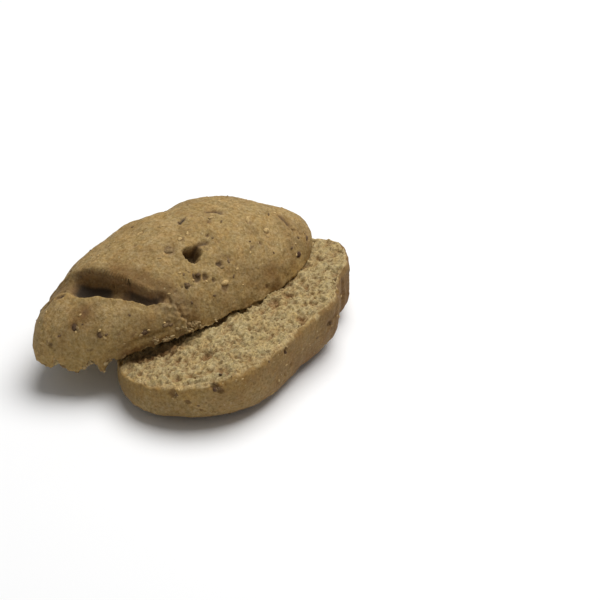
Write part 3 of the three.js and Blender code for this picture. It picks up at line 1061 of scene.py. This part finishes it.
def seeds_of_half(half, placed, random_count, seed):
    """Spots, normals, turns, sizes and tones of a half's seeds: the listed ones, then random small ones."""
    points, upward = sheet_of(half, False)
    crumb_points, crumb_upward = sheet_of(half, True)
    all_points = np.concatenate([points, crumb_points])
    all_upward = np.concatenate([upward, crumb_upward])
    random = np.random.default_rng(seed)
    placed = with_satellites(placed, random)
    seat = [np.argmin(np.sum((all_points - place) ** 2, axis=-1)) for place in placed[:, PLACE]]
    free = random.choice(np.flatnonzero(points[:, 2] > SEEDS_ABOVE), random_count, replace=False)
    small = np.stack([random.uniform(*span, random_count) for span in SMALL_SEED], axis=-1)
    spots = np.concatenate([all_points[seat], points[free]])
    normal = np.concatenate([all_upward[seat], upward[free]])
    turns = np.concatenate([placed[:, TURN], random.uniform(0, 360, random_count)])
    tones = np.concatenate([placed[:, TONE], random.choice(SMALL_TONES, random_count)])
    return spots, normal, turns, np.concatenate([placed[:, SIZES], small]), tones


def crumbs_on_rim(random):
    """Spots, normals and sizes of crumbs clinging to the torn front of the upper half's rim, in clusters.

    They lie on the outermost rows of the crust, and on more rows of it at the front than at the left.
    """
    points, upward = sheet_of("upper_half_bread", False)
    share, angle = (grid.ravel() for grid in disc_grid())
    degrees = np.degrees(angle)
    cluster = swell_share(angle, CRUMB_CLUSTERS) + CRUMB_CHANCE_ELSEWHERE
    near = (share > 1 - np.where(degrees > -125, 14, 3) / CELLS) & (degrees > -178) & (degrees < -96)
    chance = np.where(near, cluster * smooth_step(-0.1, 0.5, smooth_noise(points, 1.8 * MM, 64)), 0)
    pick = random.choice(len(points), CRUMB_COUNT, replace=False, p=chance / chance.sum())
    sizes = random.uniform(0.25, 0.7, (len(pick), 1)) * random.uniform(0.5, 1.3, (len(pick), 3))
    return points[pick], upward[pick], sizes


# ---- materials ----


def new_material(name):
    material = bpy.data.materials.new(name)
    material.use_nodes = True
    return material, material.node_tree.nodes


def grey(value):
    return (value, value, value)


class NodeTools:
    """Short calls for the kinds of shader node that the looks are made of. Sizes are in metres."""

    def __init__(self, material):
        self.nodes, self.links = material.node_tree.nodes, material.node_tree.links
        self.where = self.nodes.new("ShaderNodeTexCoord").outputs["Object"]

    def attribute(self, name):
        node = self.nodes.new("ShaderNodeAttribute")
        node.attribute_name = name
        return node.outputs["Fac"]

    def noise(self, size, detail=3.0, rough=0.55):
        node = self.nodes.new("ShaderNodeTexNoise")
        self.links.new(self.where, node.inputs["Vector"])
        node.inputs["Scale"].default_value = 1 / size
        node.inputs["Detail"].default_value = detail
        node.inputs["Roughness"].default_value = rough
        return node.outputs["Fac"]

    def ramp(self, value, *stops):
        """A colour for each value: the stops are (position, colour)."""
        node = self.nodes.new("ShaderNodeValToRGB")
        self.links.new(value, node.inputs["Fac"])
        while len(node.color_ramp.elements) < len(stops):
            node.color_ramp.elements.new(0.5)
        for element, (at, shade) in zip(node.color_ramp.elements, stops):
            element.position = at
            element.color = (*shade, 1)
        return node.outputs["Color"]

    def mix(self, factor, a, b, kind="MIX"):
        """Two colours mixed. The factor and the colours are each a socket or a value."""
        node = self.nodes.new("ShaderNodeMix")
        node.data_type = "RGBA"
        node.blend_type = kind
        for socket, value in ((node.inputs[0], factor), (node.inputs[6], a), (node.inputs[7], b)):
            if isinstance(value, bpy.types.NodeSocket):
                self.links.new(value, socket)
            else:
                socket.default_value = value if isinstance(value, float) else (*value, 1)
        return node.outputs[2]

    def times(self, a, b):
        return self.mix(1.0, a, b, "MULTIPLY")

    def spots(self, size, radius, soft=0.08):
        """Round spots in some cells of a cellular noise, from 0 to 1."""
        node = self.nodes.new("ShaderNodeTexVoronoi")
        self.links.new(self.where, node.inputs["Vector"])
        node.inputs["Scale"].default_value = 1 / size
        chance = self.nodes.new("ShaderNodeSeparateColor")
        self.links.new(node.outputs["Color"], chance.inputs["Color"])
        near = self.ramp(node.outputs["Distance"], (radius, grey(1)), (radius + soft, grey(0)))
        return self.times(near, self.ramp(chance.outputs["Red"], (0.45, grey(0)), (0.9, grey(1))))

    def into_shader(self, colour, roughness, specular):
        shader = self.nodes["Principled BSDF"]
        shader.inputs["Roughness"].default_value = roughness
        shader.inputs["Specular IOR Level"].default_value = specular
        self.links.new(colour, shader.inputs["Base Color"])
        return shader


def crust_colour(tools, look):
    """The crust: pale, mottled with gold and olive, browned where it is baked and where the baked attribute
    carries painted shade and painted light, with dark and light specks.
    """
    pale, gold, brown = tuple(look.crust_pale), tuple(look.crust_gold), tuple(look.crust_brown)
    olive, speck = tuple(look.crust_olive), grey(0.7)
    cloud = tools.ramp(tools.noise(8 * MM, 5.0, 0.6), (0.38, grey(0)), (0.62, grey(0.3)))
    crust = tools.mix(cloud, pale, gold)
    mottle = tools.ramp(tools.noise(3.4 * MM, 6.0, 0.7), (0.42, grey(0)), (0.66, grey(0.6)))
    crust = tools.mix(mottle, crust, olive)
    crust = tools.mix(tools.attribute("golden"), crust, gold)
    crust = tools.mix(tools.ramp(tools.attribute("baked"), (0.1, grey(0)), (1.0, grey(1))), crust, brown)
    patches = tools.ramp(tools.noise(1.7 * MM, 5.0, 0.7), (0.46, grey(0)), (0.68, grey(0.6)))
    crust = tools.mix(patches, crust, tools.mix(0.5, olive, brown))
    grain = tools.noise(0.95 * MM, 4.0, 0.7)
    grain = tools.ramp(grain, (0.34, (0.76, 0.70, 0.56)), (0.5, grey(1)), (0.66, (1.20, 1.25, 1.38)))
    crust = tools.times(crust, grain)
    dark_specks = tools.times(tools.spots(2.1 * MM, 0.10), speck)
    crust = tools.mix(dark_specks, crust, tools.mix(0.4, brown, tuple(look.hollow_dark)))
    return tools.mix(tools.times(tools.spots(2.3 * MM, 0.07), speck), crust, tuple(look.crumb_light))


def crumb_colour(tools, look):
    """The crumb: painted light on its tufts, painted shade in its hollows and under the upper half's rim,
    golden at its rim, with fine grain.
    """
    light, gold = tuple(look.crumb_light), tuple(look.crust_gold)
    fine = tools.noise(1.1 * MM, 5.0, 0.8)
    fine = tools.ramp(fine, (0.35, (0.40, 0.29, 0.19)), (0.47, grey(0.96)), (0.62, (1.38, 1.42, 1.50)))
    depth = ((0.0, light), (0.3, tuple(look.crumb_pale)), (1.0, tuple(look.crumb_deep)))
    crumb = tools.ramp(tools.attribute("hollow"), *depth)
    return tools.times(tools.mix(tools.attribute("golden"), crumb, tools.mix(0.45, gold, light)), fine)


def bread_material(look):
    """Crust and crumb in one material: the points' attributes say which, and node noise adds the grain."""
    material, _ = new_material("bread")
    tools = NodeTools(material)
    crust, crumb = crust_colour(tools, look), crumb_colour(tools, look)
    crust = tools.mix(tools.attribute("torn"), crust, tools.mix(0.2, crust, crumb))
    # Painted shade: the crust goes to pit brown and then to the hollow's dark as the painted shade deepens.
    inside = ((0.35, tuple(look.pit_brown)), (0.9, tuple(look.hollow_dark)))
    crust = tools.mix(tools.attribute("hollow"), crust, tools.ramp(tools.attribute("hollow"), *inside))
    warm = tools.noise(1.5 * MM, 4.0, 0.7)
    warm = tools.ramp(warm, (0.36, (1.01, 0.99, 0.88)), (0.5, grey(1)), (0.64, (0.99, 1.01, 1.10)))
    broad = tools.noise(5.0 * MM, 3.0, 0.6)
    broad = tools.ramp(broad, (0.36, (1.03, 0.98, 0.91)), (0.5, grey(1)), (0.64, (0.98, 1.01, 1.05)))
    bread = tools.times(tools.mix(tools.attribute("crust"), crumb, crust), tools.times(warm, broad))
    shader = tools.into_shader(bread, 0.78, 0.25)
    bump = tools.nodes.new("ShaderNodeBump")
    bump.inputs["Strength"].default_value = 0.9
    bump.inputs["Distance"].default_value = 0.7 * MM
    rough = tools.times(tools.noise(1.5 * MM, 5.0, 0.65), grey(0.85))
    height = tools.mix(tools.attribute("crust"), tools.noise(1.0 * MM, 5.0, 0.7), rough)
    tools.links.new(height, bump.inputs["Height"])
    tools.links.new(bump.outputs["Normal"], shader.inputs["Normal"])
    return material


def grain_material(name, pale, dark):
    """Seeds or crumbs: pale to dark by each one's tone, flecked by node noise."""
    material, _ = new_material(name)
    tools = NodeTools(material)
    flecks = tools.ramp(tools.noise(0.7 * MM, 3.0, 0.5), (0.3, (0.6, 0.55, 0.5)), (0.7, grey(1.2)))
    tools.into_shader(tools.times(tools.mix(tools.attribute("tone"), pale, dark), flecks), 0.8, 0.15)
    return material


# ---- operators ----


def place_half(name, rows, faces, look):
    """The finished half as an object with its material, riding on the roll's one body."""
    values = dict(zip(ATTRIBUTES, rows[:, 3:].T))
    thing = add_mesh(name, rows[:, :3], [faces], values)
    thing.data.materials.append(bread_material(look))
    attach(thing, "root")
    return thing


class MakeLowerHalf(Operator):
    """Makes the lower half: baked base, side crust and cut crumb"""

    bl_idname = "bread_roll.lower_half"
    bl_label = "Lower half"

    def execute(self, context):
        shape, look = context.scene.roll_shape, context.scene.roll_look
        points, faces = lower_half(shape)
        points[:, :3] += row_shift(shape)
        thing = place_half("lower_half_bread", points, faces, look)
        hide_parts("lower_half")
        return {"FINISHED"}


class MakeUpperHalf(Operator):
    """Makes the upper half: domed crust with its crease and burst hole, torn rim and cut crumb"""

    bl_idname = "bread_roll.upper_half"
    bl_label = "Upper half"

    def execute(self, context):
        shape, look = context.scene.roll_shape, context.scene.roll_look
        points, faces = upper_half(shape)
        points[:, :3] += row_shift(shape)
        thing = place_half("upper_half_bread", points, faces, look)
        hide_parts("upper_half")
        return {"FINISHED"}


class MakeSeeds(Operator):
    """Presses the oat flakes, linseed and baked grains into the crust of both halves"""

    bl_idname = "bread_roll.seeds"
    bl_label = "Seeds"

    def execute(self, context):
        shape, look = context.scene.roll_shape, context.scene.roll_look
        material = grain_material("seeds", tuple(look.seed_pale), tuple(look.seed_dark))
        upper, lower = np.array(UPPER_SEEDS), np.array(LOWER_SEEDS)
        upper[:, PLACE] = upper_placed(upper[:, PLACE] * MM) + row_shift(shape)
        lower[:, PLACE] = lower[:, PLACE] * MM + row_shift(shape)
        upper[:, TURN] += UPPER_TURN
        for half, placed, count, seed in (("upper", upper, 90, 61), ("lower", lower, 60, 62)):
            bread = f"{half}_half_bread"
            place_grains(f"{half}_half_seeds", bread, *seeds_of_half(bread, placed, count, seed), material)
        return {"FINISHED"}


class MakeCrumbs(Operator):
    """Sets loose crumbs on the torn rim of the upper half"""

    bl_idname = "bread_roll.crumbs"
    bl_label = "Crumbs"

    def execute(self, context):
        look = context.scene.roll_look
        material = grain_material("loose_crumb", tuple(look.crumb_light), tuple(look.crumb_deep))
        random = np.random.default_rng(63)
        spots, upward, sizes = crumbs_on_rim(random)
        turns, tones = random.uniform(0, 360, len(spots)), random.uniform(0.1, 0.8, len(spots))
        place_grains("upper_half_crumbs", "upper_half_bread", spots, upward, turns, sizes, tones, material)
        return {"FINISHED"}


# The camera: where it is from the thing it aims at (degrees, metres), and its lens.
AZIMUTH = -57.75
ELEVATION = 32.1
AIM = np.array([29.6, -22.5, 9.2]) * MM
DISTANCE = 650 * MM
LENS_MM = 102.6
SENSOR_MM = 36
NEAR_CLIP = 0.01
# The light: metres across, watts, metres away, degrees round from the camera and up. Then the floor and sky.
LIGHT_SIZE = 1.2
LIGHT_POWER = 20.3
LIGHT_DISTANCE = 1.3
LIGHT_ROUND = 128
LIGHT_UP = 70
FLOOR_REACH = 3.0
SKY_STRENGTH = 0.232


class MakeStage(Operator):
    """Makes the pale floor, the soft light, the sky and the camera"""

    bl_idname = "bread_roll.stage"
    bl_label = "Stage"

    def execute(self, context):
        scene = context.scene
        corners = np.array([[-1, -1, 0], [1, -1, 0], [1, 1, 0], [-1, 1, 0]]) * FLOOR_REACH
        floor = add_mesh("floor", corners, [np.array([[0, 1, 2, 3]])], {})
        material, nodes = new_material("floor_white")
        nodes["Principled BSDF"].inputs["Base Color"].default_value = (*grey(0.9), 1)
        nodes["Principled BSDF"].inputs["Roughness"].default_value = 0.9
        floor.data.materials.append(material)
        world = bpy.data.worlds.new("studio")
        world.use_nodes = True
        sky = world.node_tree.nodes["Background"]
        sky.inputs["Color"].default_value = (1, 1, 1, 1)
        sky.inputs["Strength"].default_value = SKY_STRENGTH
        scene.world = world
        scene.view_settings.view_transform = "Standard"
        add_camera(scene)
        add_light(scene)
        return {"FINISHED"}


def look_from(azimuth, elevation):
    """The unit vector towards a viewer at this azimuth and elevation. Azimuth 0 looks along +Y."""
    a, e = np.radians(azimuth), np.radians(elevation)
    return np.array([np.sin(a) * np.cos(e), -np.cos(a) * np.cos(e), np.sin(e)])


def aimed(thing, place, target):
    """Puts a camera or lamp at a place, looking at a target."""
    thing.location = place
    ahead = Vector(np.asarray(target) - np.asarray(place))
    thing.rotation_euler = ahead.to_track_quat("-Z", "Y").to_euler()
    bpy.context.scene.collection.objects.link(thing)


def add_camera(scene):
    data = bpy.data.cameras.new("camera")
    data.lens = LENS_MM
    data.sensor_width = SENSOR_MM
    data.clip_start = NEAR_CLIP
    camera = bpy.data.objects.new("camera", data)
    aimed(camera, AIM + DISTANCE * look_from(AZIMUTH, ELEVATION), AIM)
    scene.camera = camera


def add_light(scene):
    data = bpy.data.lights.new("soft_light", "AREA")
    data.shape = "DISK"
    data.size = LIGHT_SIZE
    data.energy = LIGHT_POWER
    light = bpy.data.objects.new("soft_light", data)
    aimed(light, LIGHT_DISTANCE * look_from(AZIMUTH + LIGHT_ROUND, LIGHT_UP), (0, 0, 0))


class BreadPanel(Panel):
    """Lists the roll's sizes, colours and pieces"""

    bl_idname = "VIEW3D_PT_bread_roll"
    bl_label = "Bread roll"
    bl_space_type = "VIEW_3D"
    bl_region_type = "UI"
    bl_category = "Bread"

    def draw(self, context):
        for group in (context.scene.roll_shape, context.scene.roll_look):
            for key in group.__annotations__:
                self.layout.prop(group, key)
        for operator in OPERATORS:
            self.layout.operator(operator.bl_idname)


GROUPS = (RollShape, RollLook)
OPERATORS = (MakeLowerHalf, MakeUpperHalf, MakeSeeds, MakeCrumbs, MakeStage)


def register():
    for item in (*GROUPS, *OPERATORS, BreadPanel):
        bpy.utils.register_class(item)
    bpy.types.Scene.roll_shape = PointerProperty(type=RollShape)
    bpy.types.Scene.roll_look = PointerProperty(type=RollLook)


def unregister():
    del bpy.types.Scene.roll_look
    del bpy.types.Scene.roll_shape
    for item in reversed((*GROUPS, *OPERATORS, BreadPanel)):
        bpy.utils.unregister_class(item)


def main():
    register()
    bpy.ops.bread_roll.lower_half()
    bpy.ops.bread_roll.upper_half()
    bpy.ops.bread_roll.seeds()
    bpy.ops.bread_roll.crumbs()
    bpy.ops.bread_roll.stage()


if __name__ == "__main__":
    main()
